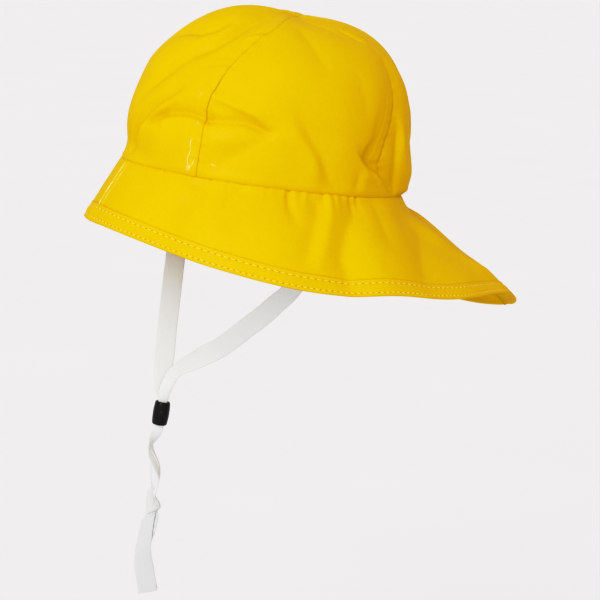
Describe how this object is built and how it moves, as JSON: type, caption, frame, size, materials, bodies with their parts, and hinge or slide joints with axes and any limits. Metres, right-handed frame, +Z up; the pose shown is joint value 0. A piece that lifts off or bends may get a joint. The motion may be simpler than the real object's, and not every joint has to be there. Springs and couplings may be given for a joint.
{
  "type": "sou'wester rain hat",
  "caption": "Soft coated-cloth rain hat: panelled crown, brim growing long at the back, elastic chin strap with barrel cord lock and knot.",
  "frame": {"origin": "middle of the head opening, on the level of the seam between crown and brim", "axes": "+Z up as worn, -Y the way the wearer looks, +X the wearer's left, +Y towards the long back of the brim"},
  "size_m": [0.2592, 0.3252, 0.4463],
  "materials": {
    "coated_cloth": "yellow coated cloth with a soft gloss",
    "elastic": "white ribbed elastic webbing, matt",
    "lock_plastic": "black, glossy"
  },
  "bodies": {
    "root": {"crown_front_panel": "coated_cloth", "crown_left_panel": "coated_cloth", "crown_back_panel": "coated_cloth", "crown_right_panel": "coated_cloth", "brim_left": "coated_cloth", "brim_right": "coated_cloth", "strap_left": "elastic", "strap_right": "elastic", "strap_tail_front": "elastic", "strap_tail_back": "elastic", "strap_knot": "elastic", "cord_lock": "lock_plastic"}
  },
  "joints": []
}
